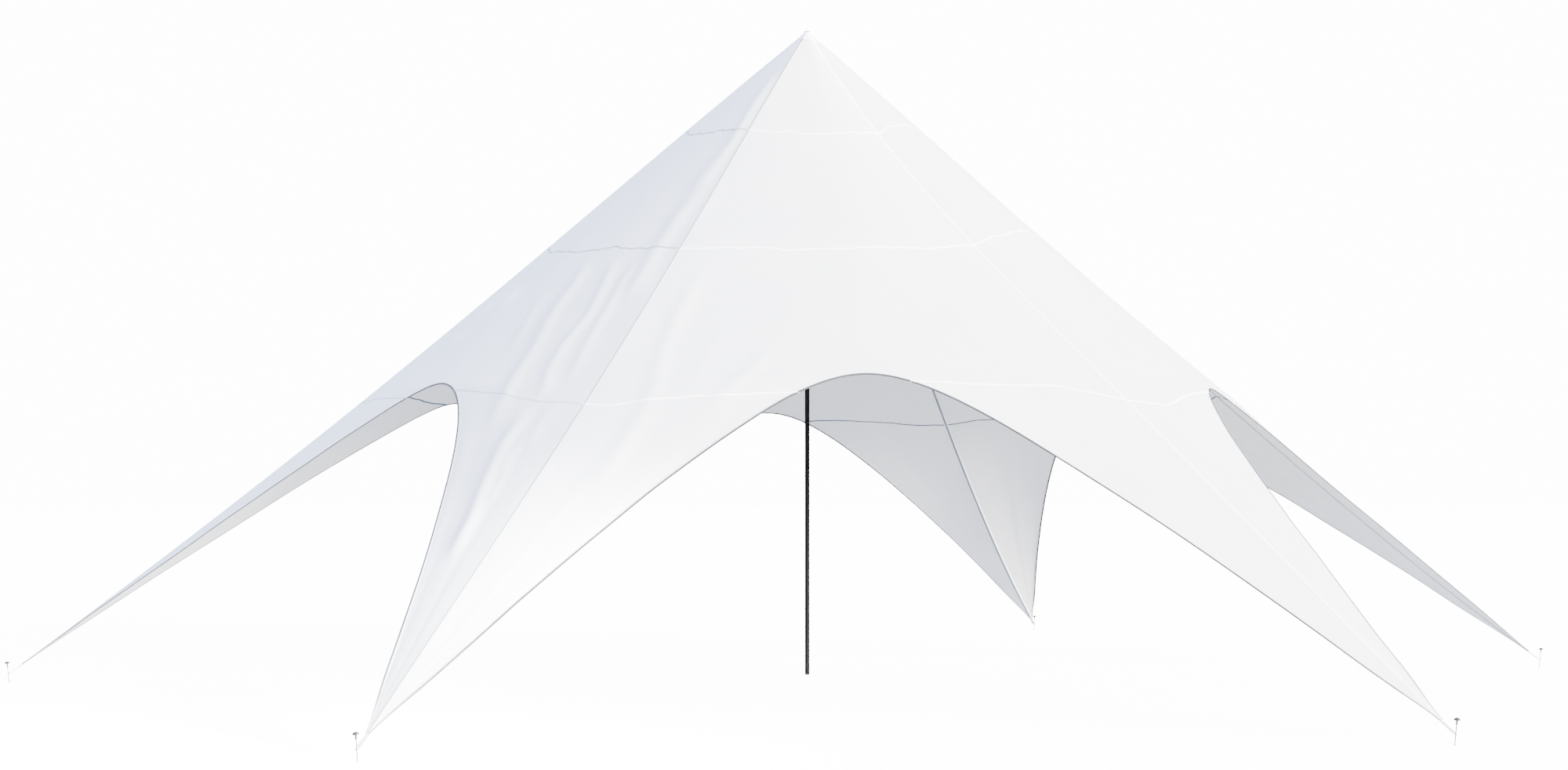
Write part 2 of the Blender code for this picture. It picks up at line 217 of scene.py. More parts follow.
RIDGE_ROW_PACE = 0.48
NECK_ROW = 0.030 / SHOULDER_RADIUS
TIP_ROW = 1.975
TIP_DRAW = 0.58
TIP_DRAW_LENGTH = 0.135
CLOTH_THICKNESS = 0.0012
CLOTH_WELD = 0.00001
LIFT_TILT = math.radians(40)

# Where the ring seams run, from the top down: their distances from the mast at the ridges, how far
# the upper two dip at a gore's middle, the rows at which the lowest meets the arch on either side,
# and how far one bends down on its way from the middle or the arch to a ridge.
RING_RADII = {"right": (1.14, 2.22, 3.85), "back_right": (1.10, 2.20, 3.80),
              "back_left": (1.12, 2.30, 4.0), "left": (1.10, 2.34, 4.0),
              "front_left": (1.275, 2.60, 4.16), "front_right": (1.026, 2.285, 4.03)}
RING_DIPS = {"front": (0.034, 0.042), "front_left": (-0.004, 0.002), "front_right": (-0.012, -0.012)}
LOWEST_RING = 2
PLAIN_RING_AT_ARCH = (1.12, 1.12)
LOW_RING_AT_ARCH = {"front_left": (1.12, 1.093), "front": (1.15, 1.088), "front_right": (1.074, 1.125),
                    "back_right": (1.12, 1.04), "back_left": (1.12, 1.047)}
WAVER_HEIGHT = 0.003
BEND_PLACES = (0, 0.25, 0.5, 0.7, 0.85, 1)
NO_BEND = (0,) * len(BEND_PLACES)
RING_BENDS = {("front_left", 1, 2): (0, 0.007, 0.014, 0.022, 0.008, 0),
              ("front", -1, 2): (0, 0.004, 0.001, 0.014, 0.022, 0),
              ("front", 1, 2): (0, 0.001, -0.012, -0.028, -0.018, 0),
              ("front", 1, 1): (0, -0.001, 0.004, 0.010, 0.004, 0),
              ("front_right", -1, 2): (0, 0.012, 0.042, 0.066, 0.038, 0),
              ("back_left", 1, 2): (0, -0.026, -0.050, -0.048, -0.026, 0)}


def ridge_height(arm, radius):
    """Height of an arm's ridge at a distance from the mast."""
    along = radius / STAKE_CIRCLE
    outward = 2 * along - 1
    halfway, lean, ends = RIDGE_SAGS[arm]
    straight = APEX_HEIGHT + (STRAP_HEIGHT - APEX_HEIGHT) * along
    return straight - (halfway + lean * outward + ends * outward ** 2) * 4 * along * (1 - along)


def arch_share(lateral, rounding):
    """How far the arch has gone from its top, 0, to its foot, 1: a hyperbola with a bowed leg."""
    here = np.hypot(lateral, rounding) - rounding
    foot = math.hypot(ARCH_HALF_SPAN, rounding) - rounding
    return (1 - ARCH_BOW) * here / foot + ARCH_BOW * (lateral / ARCH_HALF_SPAN) ** 2


def row_start(row):
    """Where a row starts: on the gore's middle line above the arch, and on the arch below it."""
    lateral = ARCH_HALF_SPAN * np.maximum(row - 1, 0)
    out = arch_share(lateral, ARCH_PLAN_ROUNDING)
    down = arch_share(lateral, ARCH_HEIGHT_ROUNDING)
    middle_height = APEX_HEIGHT + (ARCH_TOP_HEIGHT - APEX_HEIGHT) * row - 4 * MIDDLE_SAG * row * (1 - row)
    above = row <= 1
    x = np.where(above, ARCH_TOP_RADIUS * row, ARCH_TOP_RADIUS + (ARCH_FOOT_RADIUS - ARCH_TOP_RADIUS) * out)
    z = np.where(above, middle_height, ARCH_TOP_HEIGHT + (STRAP_HEIGHT - ARCH_TOP_HEIGHT) * down)
    return x, lateral, z


def ridge_radius(row):
    """Distance from the mast at which a row meets the ridge."""
    low = np.maximum(row - 1, 0)
    share = RIDGE_ROW_PACE * low + (1 - RIDGE_ROW_PACE) * low ** 2
    outer = SHOULDER_RADIUS + (STAKE_CIRCLE - SHOULDER_RADIUS) * share
    return np.where(row <= 1, SHOULDER_RADIUS * row, outer)


def row_at_ridge(radius):
    """The row that meets the ridge at a distance from the mast."""
    if radius <= SHOULDER_RADIUS:
        return radius / SHOULDER_RADIUS
    rest = 1 - RIDGE_ROW_PACE
    share = (radius - SHOULDER_RADIUS) / (STAKE_CIRCLE - SHOULDER_RADIUS)
    return 1 + (math.sqrt(RIDGE_ROW_PACE ** 2 + 4 * rest * share) - RIDGE_ROW_PACE) / (2 * rest)


def smooth_step(value):
    value = np.clip(value, 0, 1)
    return value * value * (3 - 2 * value)


def arms_beside(gore):
    """The arms on the two sides of a gore, its first and its second."""
    return ARMS[gore], ARMS[(gore + 1) % len(ARMS)]


def middle_angle(gore):
    """The way of a gore's middle line round the mast."""
    return 2 * HALF_STEP * gore + HALF_STEP


def swung(x, y, angle):
    """Places on the plan, swung round the origin."""
    return x * math.cos(angle) - y * math.sin(angle), x * math.sin(angle) + y * math.cos(angle)


# Folds, as lines on the ground plan of a gore, with X out along its middle and Y towards the
# arm on its left seen from the mast. Each has a half width and a height in metres.
FOLD_END_SHARE = 0.2
SLACK_FOLDS = [
    ([(0.36, 0.17), (0.85, 0.41), (1.23, 0.61), (1.44, 0.67), (1.62, 0.72), (1.90, 0.92)], 0.11, 0.012),
    ([(1.72, 0.83), (1.99, 0.90), (2.18, 1.00), (2.34, 1.08), (2.56, 1.22), (2.80, 1.37)], 0.09, 0.012),
    ([(2.40, 0.16), (2.70, 0.45), (2.89, 0.54), (3.09, 0.67), (3.30, 0.86), (3.52, 1.00),
      (3.73, 1.16), (3.91, 1.31), (4.06, 1.44)], 0.075, 0.0115),
    ([(2.40, 0.60), (2.74, 0.93), (2.96, 1.10), (3.12, 1.15), (3.26, 1.20), (3.43, 1.32),
      (3.60, 1.51), (3.80, 1.65)], 0.055, 0.0085),
    ([(2.36, 0.94), (2.59, 1.04), (2.79, 1.18), (3.00, 1.31), (3.17, 1.42), (3.34, 1.56),
      (3.52, 1.73)], 0.050, 0.0065),
    ([(2.80, 0.10), (3.13, 0.38), (3.40, 0.60)], 0.060, 0.0045),
    ([(2.50, -1.05), (2.89, -0.80), (3.30, -0.80)], 0.120, 0.007),
    ([(3.74, 1.54), (3.92, 1.67), (4.08, 1.75), (4.24, 1.89), (4.39, 2.03), (4.59, 2.24),
      (4.96, 2.53)], 0.065, 0.012),
    ([(3.84, 1.77), (4.04, 1.89), (4.15, 1.95), (4.28, 2.09), (4.54, 2.31)], 0.04, 0.0055),
    ([(3.66, 1.78), (3.87, 1.88), (4.05, 2.03)], 0.05, 0.0045),
    ([(2.67, -0.45), (2.77, -0.55), (2.91, -0.96), (3.19, -1.06)], 0.20, 0.012),
]
TAUT_FOLDS = [
    ([(2.42, -1.08), (2.74, -1.25), (3.05, -1.40), (3.31, -1.50), (3.65, -1.58), (3.86, -1.67),
      (4.06, -1.79), (4.30, -1.93), (4.55, -2.08)], 0.07, 0.011),
    ([(3.42, -0.66), (3.69, -0.95), (3.80, -1.07), (3.95, -1.22)], 0.06, 0.008),
    ([(3.16, -1.02), (3.40, -1.16), (3.62, -1.30)], 0.05, 0.003),
    ([(2.90, 0.70), (3.40, 1.15), (3.90, 1.70)], 0.16, 0.006),
    ([(1.30, 0.10), (2.20, 0.16), (3.20, 0.05)], 0.26, 0.006),
]
# The folds of each gore: the list, whether it lies the other way round, and its strength.
GORE_FOLDS = {"front_left": (SLACK_FOLDS, 1, 1.7), "front": (TAUT_FOLDS, 1, 1.3),
              "front_right": (TAUT_FOLDS, -1, 0.7), "back_right": (SLACK_FOLDS, -1, 0.8),
              "back": (TAUT_FOLDS, -1, 1.3), "back_left": (SLACK_FOLDS, -1, 1.2)}


def fold_line_lift(x, y, line, half_width, height):
    """Height that one fold adds, rounded across and fading to both of its ends."""
    lengths = [math.dist(a, b) for a, b in zip(line, line[1:])]
    nearest = np.full(x.shape, 1e9)
    along = np.zeros(x.shape)
    walked = 0.0
    for (start_x, start_y), (end_x, end_y), length in zip(line, line[1:], lengths):
        way_x, way_y = (end_x - start_x) / length, (end_y - start_y) / length
        run = np.clip((x - start_x) * way_x + (y - start_y) * way_y, 0, length)
        off = np.hypot(x - start_x - run * way_x, y - start_y - run * way_y)
        closer = off < nearest
        nearest = np.where(closer, off, nearest)
        along = np.where(closer, walked + run, along)
        walked += length
    share = along / walked
    fade = smooth_step(share / FOLD_END_SHARE) * smooth_step((1 - share) / FOLD_END_SHARE)
    return height * fade * np.exp(-(nearest / half_width) ** 2)


# Small unevenness all over: a billow, flutes down the arms and gathers round the collar.
RIDGE_HOLD = 0.12
BILLOW_HEIGHT = 0.0035
FLUTE_HEIGHT = 0.002
GATHER_DEPTH = 0.004
GATHERS = 5
GATHER_REACH = 0.03


def wrinkle_lift(gore, side, row, across, x, y):
    """How far the cloth stands off its tight shape, zero along the ridges."""
    from_ridge = x * math.sin(HALF_STEP) - np.abs(y) * math.cos(HALF_STEP)
    freed = smooth_step(from_ridge / RIDGE_HOLD)
    folds, way_round, strength = GORE_FOLDS[GORES[gore]]
    lift = np.zeros(x.shape)
    for line, half_width, height in folds:
        lift += strength * fold_line_lift(x, way_round * y, line, half_width, height)
    phase = 1.7 * gore
    billow = (np.sin(2.1 * x + 3.4 * y + phase) * np.sin(4.3 * x - 1.9 * y + 2 * phase)
              + 0.5 * np.sin(7.3 * x - 5.1 * y + 3 * phase) * np.sin(3.7 * y + 1.1 * x))
    lift += BILLOW_HEIGHT * billow
    low = np.clip(row - 1, 0, 1)
    flutes = np.sin(2 * math.pi * (2.6 * across + 0.17 * gore + 0.3 * side + 0.6 * low))
    flutes += 0.5 * np.sin(2 * math.pi * (4.7 * across - 0.23 * gore + 0.9 * low))
    lift += FLUTE_HEIGHT * flutes * smooth_step(low / 0.35) * (1.12 - low)
    gathers = (1 - np.cos(2 * math.pi * GATHERS * across)) / 2
    neck = np.exp(-(row / GATHER_REACH) ** 2) * smooth_step(row / 0.02)
    return lift * freed - GATHER_DEPTH * gathers * neck


def tight_place(arm, side, row, across):
    """Points of the cloth without wrinkles, with X out along the gore's middle."""
    start_x, start_y, start_z = row_start(row)
    radius = ridge_radius(row)
    straightness = np.maximum(0, row - 1)
    bulge = (1 - straightness) * across ** 2 + straightness * across
    return np.stack([start_x + (radius * math.cos(HALF_STEP) - start_x) * bulge,
                     side * (start_y + (radius * math.sin(HALF_STEP) - start_y) * across),
                     start_z + (ridge_height(arm, radius) - start_z) * bulge])


def cloth_place(gore, side, row, across):
    """Points of the cloth. Side -1 runs to the gore's first arm and 1 to its second; across runs
    from the gore's middle or the arch, 0, to the ridge, 1. The arms' tips are drawn in to the
    straps, and the shoulder at row 1 is smoothed except at the arch."""
    row = np.asarray(row, float)
    across = np.asarray(across, float)
    drawn = np.clip(1 - (TIP_ROW - row) / TIP_DRAW_LENGTH, 0, 1) ** 3
    across = across + (1 - across) * TIP_DRAW * drawn
    arm = arms_beside(gore)[side > 0]
    step = SHOULDER_STEP * smooth_step(across / 0.3) * smooth_step((row - 0.7) / 0.2)
    step = step * smooth_step((1.4 - row) / 0.2)
    x, y, z = sum(weight / 16 * tight_place(arm, side, row + shift * step, across)
                  for shift, weight in ((-2, 1), (-1, 4), (0, 6), (1, 4), (2, 1)))
    lift = wrinkle_lift(gore, side, row, across, x, y)
    x, y = swung(x + math.sin(LIFT_TILT) * lift, y, middle_angle(gore))
    return np.stack([x, y, z + math.cos(LIFT_TILT) * lift], axis=-1)


def ring_row(gore, ring, side, across):
    """The row along which a ring seam, 0 to 2 from the top, runs over half a gore."""
    name = GORES[gore]
    first, second = (row_at_ridge(RING_RADII[arm][ring]) for arm in arms_beside(gore))
    at_ridge = second if side > 0 else first
    if ring == LOWEST_RING:
        start = LOW_RING_AT_ARCH.get(name, PLAIN_RING_AT_ARCH)[side > 0]
        course = across
    else:
        start = (first + second) / 2 + RING_DIPS.get(name, (0, 0))[ring]
        course = across ** 1.5
    waver = np.sin(9 * side * across + 2.3 * gore + ring) + 0.6 * np.sin(21 * side * across - gore)
    waver += 0.35 * np.sin(47 * side * across + 1.1 * gore + 2 * ring)
    bend = np.interp(across, BEND_PLACES, RING_BENDS.get((name, side, ring), NO_BEND))
    return start + (at_ridge - start) * course + bend + WAVER_HEIGHT * waver * np.sin(math.pi * across)


def new_piece(name, mesh, material, slot, nodes):
    """Link a finished mesh as a piece of the tent that stands for the named CAD nodes."""
    mesh.materials.append(material)
    piece = add_object(name, mesh)
    for face in mesh.polygons:
        face.use_smooth = True
    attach(piece, "root")
    if nodes:
        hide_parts(*nodes)
    return piece


def grid_mesh(name, columns, rows, where):
    """A grid whose points and UV places in metres come from where(u, v), each from 0 to 1."""
    grid = bmesh.new()
    grid.loops.layers.uv.new("cloth")
    bmesh.ops.create_grid(grid, x_segments=columns, y_segments=rows, size=0.5, calc_uvs=True)
    mesh = made_mesh(name, grid)
    flat = np.empty(len(mesh.vertices) * 3)
    mesh.vertices.foreach_get("co", flat)
    u = np.round((flat[0::3] + 0.5) * columns) / columns
    v = np.round((flat[1::3] + 0.5) * rows) / rows
    places, measures = where(u, v)
    mesh.vertices.foreach_set("co", places.ravel())
    corners = np.empty(len(mesh.loops), np.int32)
    mesh.loops.foreach_get("vertex_index", corners)
    mesh.uv_layers["cloth"].uv.foreach_set("vector", measures[corners].ravel())
    mesh.update()
    return mesh


def merge_meshes(name, meshes, distance=CLOTH_WELD):
    """One mesh from several, with the points where they meet made one, facing up on the whole."""
    joined = bmesh.new()
    for mesh in meshes:
        joined.from_mesh(mesh)
        bpy.data.meshes.remove(mesh)
    bmesh.ops.remove_doubles(joined, verts=joined.verts, dist=distance)
    bmesh.ops.recalc_face_normals(joined, faces=joined.faces)
    if sum(face.normal.z * face.calc_area() for face in joined.faces) < 0:
        bmesh.ops.reverse_faces(joined, faces=joined.faces)
    return made_mesh(name, joined)


def cloth_measures(gore, places):
    """Places on the flat cloth: metres to the side of the gore's middle, and metres down."""
    out, aside = swung(places[:, 0], places[:, 1], -middle_angle(gore))
    return np.stack([aside, np.hypot(out, APEX_HEIGHT - places[:, 2])], axis=-1)


def fresh_material(name):
    """A new material, with its node tree and its surface shader."""
    material = bpy.data.materials.new(name)
    material.use_nodes = True
    return material, material.node_tree, material.node_tree.nodes["Principled BSDF"]


def object_place(tree):
    return add_node("TexCoord", tree=tree).outputs["Object"]


def split(vector):
    return add_node("SeparateXYZ", vector).outputs


def noise(place, scale, **settings):
    return add_node("TexNoise", Vector=place, Scale=scale, **settings).outputs[0]


def bumped(height, distance, strength, **under):
    return add_node("Bump", Height=height, Distance=distance, Strength=strength, **under).outputs[0]


def ramp(value, low, high, from_value, to_value):
    """A value between low and high, turned smoothly into one between from_value and to_value."""
    return add_node("MapRange", value, low, high, from_value, to_value,
                    interpolation_type="SMOOTHSTEP").outputs[0]


def mixed_colour(share, first, second):
    """A colour between two, by a value from 0 to 1."""
    node = add_node("Mix", share, data_type="RGBA")
    for socket, value in zip(node.inputs[6:8], (first, second)):
        feed(socket, (*value, 1) if isinstance(value, tuple) else value)
    return node.outputs[2]


def woven_height(measures, threads):
    """Over and under of a plain weave, from places in metres and threads to the metre."""
    warp, weft = (math_node("SINE", product(part, threads * math.pi)) for part in split(measures)[:2])
    return product(warp, weft)


def cloth_material(name, colour, shade, see_through):
    """White polyester cloth: weave, fine creases, a slight unevenness of tone and dusty edges."""
    material, tree, shader = fresh_material(name)
    measures = add_node("UVMap", tree=tree, uv_map="cloth").outputs[0]
    tone = noise(measures, 1.3, Detail=4.0, Roughness=0.6)
    creases = noise(measures, 5.5, Detail=3.0, Roughness=0.55, Distortion=0.7)
    crumple = add_node("TexVoronoi", Vector=measures, Scale=3.1, feature="SMOOTH_F1").outputs[0]
    low = ramp(split(object_place(tree))[2], 0.05, 1.1, 1.0, 0.0)
    dusty = product(low, ramp(tone, 0.35, 0.7, 0.05, 0.35))
    plain = mixed_colour(ramp(tone, 0.3, 0.7, 0.0, 1.0), colour, shade)
    bent = bumped(crumple, 0.012, 0.18)
    bent = bumped(creases, 0.006, 0.22, Normal=bent)
    bent = bumped(woven_height(measures, 1150), 0.0002, 0.30, Normal=bent)
    set_node(shader, Base_Color=mixed_colour(dusty, plain, (0.66, 0.65, 0.62)),
             Roughness=ramp(creases, 0.3, 0.7, 0.66, 0.80), Specular_IOR_Level=0.28,
             Sheen_Weight=0.08, Normal=bent)
    through = add_node("BsdfTranslucent", Color=(*shade, 1), Normal=bent)
    cloth = add_node("MixShader", see_through, shader.outputs[0], through.outputs[0])
    set_node(tree.nodes["Material Output"], cloth.outputs[0])
    return material


CANOPY_WHITE = cloth_material("canopy_cloth_white", (0.74, 0.74, 0.75), (0.715, 0.72, 0.735), 0.15)
TOP_COLUMNS = 60
TOP_ROWS = 190
SHOULDER_ROWS = 12
SHOULDER_RISE = 0.06
ARM_COLUMNS = 30
ARM_ROWS = 110


def top_half(gore, side):
    """Half of a gore from the mast's collar down to the lowest ring seam."""
    rows = TOP_ROWS + SHOULDER_ROWS
    turn_share = TOP_ROWS / rows

    def where(u, v):
        corner = 1 - SHOULDER_RISE * u
        upper = NECK_ROW + (corner - NECK_ROW) * np.minimum(v / turn_share, 1)
        lower = np.clip((v - turn_share) / (1 - turn_share), 0, 1)
        row = upper + (ring_row(gore, LOWEST_RING, side, u) - corner) * lower
        places = cloth_place(gore, side, row, u)
        return places, cloth_measures(gore, places)

    return grid_mesh("half", TOP_COLUMNS, rows, where)


def arm_half(gore, side):
    """The panel of a gore below the lowest ring seam, on one side, out to the arm's tip."""
    def where(u, v):
        start = ring_row(gore, LOWEST_RING, side, u)
        places = cloth_place(gore, side, start + (TIP_ROW - start) * v, u)
        return places, cloth_measures(gore, places)

    return grid_mesh("half", ARM_COLUMNS, ARM_ROWS, where)


def sheet_piece(name, patches, material, slot, node, thickness):
    """A piece of cloth or webbing and its area once cut. It is thickened about its middle, with its
    shading kept flat up to the cut edges."""
    mesh = merge_meshes(name, patches)
    cut = sum(face.area for face in mesh.polygons)
    piece = new_piece(name, mesh, material, slot, [node])
    solid = piece.modifiers.new("cloth_thickness", "SOLIDIFY")
    solid.thickness = thickness
    solid.offset = 0
    piece.modifiers.new("flat_to_the_edge", "WEIGHTED_NORMAL")
    return piece, cut


for gore, gore_name in enumerate(GORES):
    finish = (CANOPY_WHITE, "canopy_cloth", "canopy_gore_" + gore_name, CLOTH_THICKNESS)
    halves = [top_half(gore, side) for side in (-1, 1)]
    piece, cut = sheet_piece("canopy_top_" + gore_name, halves, *finish)
    for side, arm in zip((-1, 1), arms_beside(gore)):
        name = "canopy_arm_" + gore_name + "_to_" + arm
        piece, cut = sheet_piece(name, [arm_half(gore, side)], *finish)


# Ring seams. Flat-felled seams, 20 mm wide, that join the panels of a gore in three rings. The
# doubled cloth stands a little proud on both faces and is sewn twice. Its underside is painted
# dark blue-grey as shade, and on the shaded gores the seams are painted grey as shade.
SEAM_HALF_WIDTH = 0.010
SEAM_STAND = 0.0022
SEAM_SECTION = ((-1, 0), (-0.8, 0.8), (-0.3, 1), (0.3, 1), (0.8, 0.8), (1, 0), (0.8, -0.8), (0, -1),
                (-0.8, -0.8))
SEAM_PROFILE = [(out * SEAM_HALF_WIDTH, up * SEAM_STAND) for out, up in SEAM_SECTION]
SEAM_STATION = 0.02
SEAM_STITCHES = (-0.0065, 0.0065)
SEAM_RIBS = 160
# Half width and colour of the painted shade on a seam's underside.
SEAM_UNDERSIDE_SHADE = (0.0100, (0.08, 0.11, 0.15))
STITCH_LENGTH = 0.004
EDGE_BLUR = 0.0005
UNDERSIDE_SHIFT = 0.5
SLOPE_STEP = 0.002
BAND_WELD = 0.000005
WING_WELD = 0.0000001
RING_NAMES = ("upper", "middle", "lower")
# Gores on the shaded side, whose seams are painted grey as shade.
SHADE_SEAMED_GORES = ("front_left", "back_left", "back")


def unit(vectors):
    return vectors / np.linalg.norm(vectors, axis=1, keepdims=True)


def facing_up(normals):
    return normals * np.sign(normals[:, 2:3])


def cloth_frames(gore, side, row, across):
    """Points along a line on the cloth, with the cloth's upward normal at each."""
    centre = cloth_place(gore, side, row, across)
    inward = cloth_place(gore, side, row, np.maximum(across - SLOPE_STEP, 0))
    outward = cloth_place(gore, side, row, np.minimum(across + SLOPE_STEP, 1))
    lower = cloth_place(gore, side, row + SLOPE_STEP, across)
    return centre, facing_up(unit(np.cross(lower - centre, outward - inward)))


def whole_line(halves):
    """Points and normals over a whole gore, from those of its halves, which run outwards."""
    return [np.concatenate([first[:0:-1], second]) for first, second in zip(*halves)]


def line_ways(line):
    """Unit steps along a line of points, and the distance run at each."""
    run = np.concatenate([[0], np.cumsum(np.linalg.norm(np.diff(line, axis=0), axis=1))])
    return unit(np.gradient(line, axis=0)), run


def nearest_index(share, points):
    return np.round(share * (len(points) - 1)).astype(int)


def rolled_band(name, profile, line, lay):
    """A solid band with capped ends, facing outwards. Its points and UV places come from
    lay(corner, station), from the corners of a closed profile and the stations of a line."""
    def where(u, v):
        return lay(nearest_index(u, profile), nearest_index(v, line))

    rolled = grid_mesh("band", len(profile) - 1, len(line) - 1, where)
    band = bmesh.new()
    band.from_mesh(rolled)
    bpy.data.meshes.remove(rolled)
    bmesh.ops.remove_doubles(band, verts=band.verts, dist=BAND_WELD)
    bmesh.ops.holes_fill(band, edges=[edge for edge in band.edges if edge.is_boundary])
    bmesh.ops.recalc_face_normals(band, faces=band.faces)
    return made_mesh(name, band)


def band_measures(profile, corner, run):
    """UV places on a band: across it, with half a metre added on its underside, and along it."""
    return np.stack([profile[corner, 0] + UNDERSIDE_SHIFT * (profile[corner, 1] < -0.001), run], axis=-1)


def band_mesh(name, line, normals, profile):
    """A band along a line, with a profile of (sideways, lift) in metres."""
    ways, run = line_ways(line)
    sideways = np.cross(normals, ways)
    profile = np.array(profile + profile[:1])

    def lay(corner, station):
        places = (line[station] + sideways[station] * profile[corner, :1]
                  + normals[station] * profile[corner, 1:])
        return places, band_measures(profile, corner, run[station])

    return rolled_band(name, profile, line, lay)


def stitched_material(name, colour, stitch_lines, ribs, underside_shade=None, edge=None):
    """Sewn polyester band or doubled cloth, with rows of lockstitch along it. It may have painted
    shade on its underside, and a dark edge, each of a given half width or width and colour; on the
    hem that dark edge is painted shadow."""
    material, tree, shader = fresh_material(name)
    measures = add_node("UVMap", tree=tree, uv_map="cloth").outputs[0]
    beside, run, _ = split(measures)
    under = math_node("GREATER_THAN", beside, UNDERSIDE_SHIFT / 2)
    beside = math_node("SUBTRACT", beside, product(under, UNDERSIDE_SHIFT))
    stitches = math_node("SINE", product(run, 2 * math.pi / STITCH_LENGTH))
    rows = 0.0
    for place in stitch_lines:
        off = math_node("ABSOLUTE", math_node("SUBTRACT", beside, place))
        rows = math_node("MAXIMUM", rows, ramp(off, 0.0004, 0.0010, 1.0, 0.0))
    sewn = product(rows, ramp(stitches, -0.5, 0.2, 0.0, 1.0))
    tone = noise(measures, 9.0, Detail=3.0)
    low = ramp(split(object_place(tree))[2], 0.05, 0.9, 0.45, 0.0)
    darker, seamed, thread = (tuple(min(1.0, channel * share) for channel in colour)
                              for share in (0.93, 0.80, 1.03))
    cloth = mixed_colour(ramp(tone, 0.3, 0.7, 0.0, 1.0), colour, darker)
    cloth = mixed_colour(rows, cloth, seamed)
    cloth = mixed_colour(sewn, cloth, thread)
    # The underside is darkened with painted shade.
    if underside_shade:
        half_width, underside_shade_colour = underside_shade
        underside_shaded = ramp(math_node("ABSOLUTE", beside), half_width - EDGE_BLUR,
                     half_width + EDGE_BLUR, 1.0, 0.0)
        cloth = mixed_colour(product(under, underside_shaded), cloth, underside_shade_colour)
    # A dark edge; on the hem it is painted shadow.
    if edge:
        width, edge_colour = edge
        edge_share = ramp(beside, width - EDGE_BLUR, width + EDGE_BLUR, 1.0, 0.0)
        cloth = mixed_colour(edge_share, cloth, edge_colour)
    ribbing = math_node("SINE", product(run, ribs * 2 * math.pi))
    woven = math_node("ADD", product(ribbing, 0.6), woven_height(measures, 900))
    bent = bumped(tone, 0.002, 0.25)
    bent = bumped(woven, 0.0003, 0.35, Normal=bent)
    bent = bumped(math_node("SUBTRACT", sewn, rows), 0.0008, 0.6, Normal=bent)
    dusty = mixed_colour(product(low, tone), cloth, (0.50, 0.48, 0.44))
    set_node(shader, Base_Color=dusty, Roughness=ramp(tone, 0.3, 0.7, 0.70, 0.86),
             Specular_IOR_Level=0.25, Normal=bent)
    return material


# The grey and pale grey seams are the white seam painted darker as shade, for the shaded gores.
SEAM_WHITE, SEAM_SHADED_GREY, SEAM_SHADED_PALE_GREY = (
    stitched_material("felled_seam_" + tint, colour, SEAM_STITCHES, SEAM_RIBS, underside_shade=SEAM_UNDERSIDE_SHADE)
    for tint, colour in (("white", (0.95, 0.95, 0.955)), ("shaded_grey", (0.34, 0.35, 0.38)),
                         ("shaded_pale_grey", (0.52, 0.53, 0.56))))


def seam_run(gore, ring, side, length):
    """Points and normals of a ring seam over half a gore, from its middle or arch to the ridge."""
    across = np.linspace(0, 1, max(8, round(length / SEAM_STATION)))
    row = ring_row(gore, ring, side, across)
    return cloth_frames(gore, side, row, across)


sewn_on = {gore_name: [] for gore_name in GORES}
for ring, ring_name in enumerate(RING_NAMES):
    for gore, gore_name in enumerate(GORES):
        name = "ring_seam_" + ring_name + "_" + gore_name
        half_length = RING_RADII[ARMS[gore]][ring] / 2
        halves = [seam_run(gore, ring, side, half_length) for side in (-1, 1)]
        if ring < LOWEST_RING:
            mesh = band_mesh(name, *whole_line(halves), SEAM_PROFILE)
        else:
            mesh = merge_meshes(name, [band_mesh(name, *half, SEAM_PROFILE) for half in halves], WING_WELD)
        # On the shaded gores the seams take the grey copies, which are painted shade.
        shaded_grey = SEAM_SHADED_GREY if ring < LOWEST_RING else SEAM_SHADED_PALE_GREY
        finish = shaded_grey if gore_name in SHADE_SEAMED_GORES else SEAM_WHITE
        sewn_on[gore_name].append(new_piece(name, mesh, finish, "canopy_cloth", []))


# Ridge webbing. A 50 mm band of polyester webbing sewn under each ridge from collar to strap, its
# underside painted blue-grey as shade. Outside, the gores meet over it in a low rounded welt, sewn
# down on both sides: broad and painted white as sunlit at the front right, only a thin crease at
# the front left, painted dark grey as the crease's shadow.
WELTS = {"front_right": (0.0100, 0.0015), "front_left": (0.0055, 0.0010)}
PLAIN_WELT = (0.0070, 0.0010)
WELT_SECTION = ((-1, 0), (-0.8, 0.75), (-0.3, 1), (0, 1.08), (0.3, 1), (0.8, 0.75), (1, 0))
WELT_ROUNDING = 0.004
WEBBING_HALF_WIDTH = 0.025
WEBBING_DEPTH = 0.0022
WEBBING_SECTION = ((0.96, 0), (1.0, 0.4), (0.97, 1), (0, 1), (-0.97, 1), (-1.0, 0.4), (-0.96, 0))
WEBBING_RIBS = 420
HALF_CLOTH = CLOTH_THICKNESS / 2
RIDGE_STATIONS = 340
RIDGE_TOP_ROW = 0.02
BESIDE_RIDGE = 0.012
FULL_WIDTH_ROOM = 0.03
# Half width and colour of the painted shade on a ridge webbing's underside.
RIDGE_UNDERSIDE_SHADE = (0.0115, (0.13, 0.16, 0.20))
BROAD_WELT_STITCHES = (-0.021, -0.0085, 0.0085, 0.021)
THIN_WELT_STITCHES = (-0.021, -0.005, 0.005, 0.021)
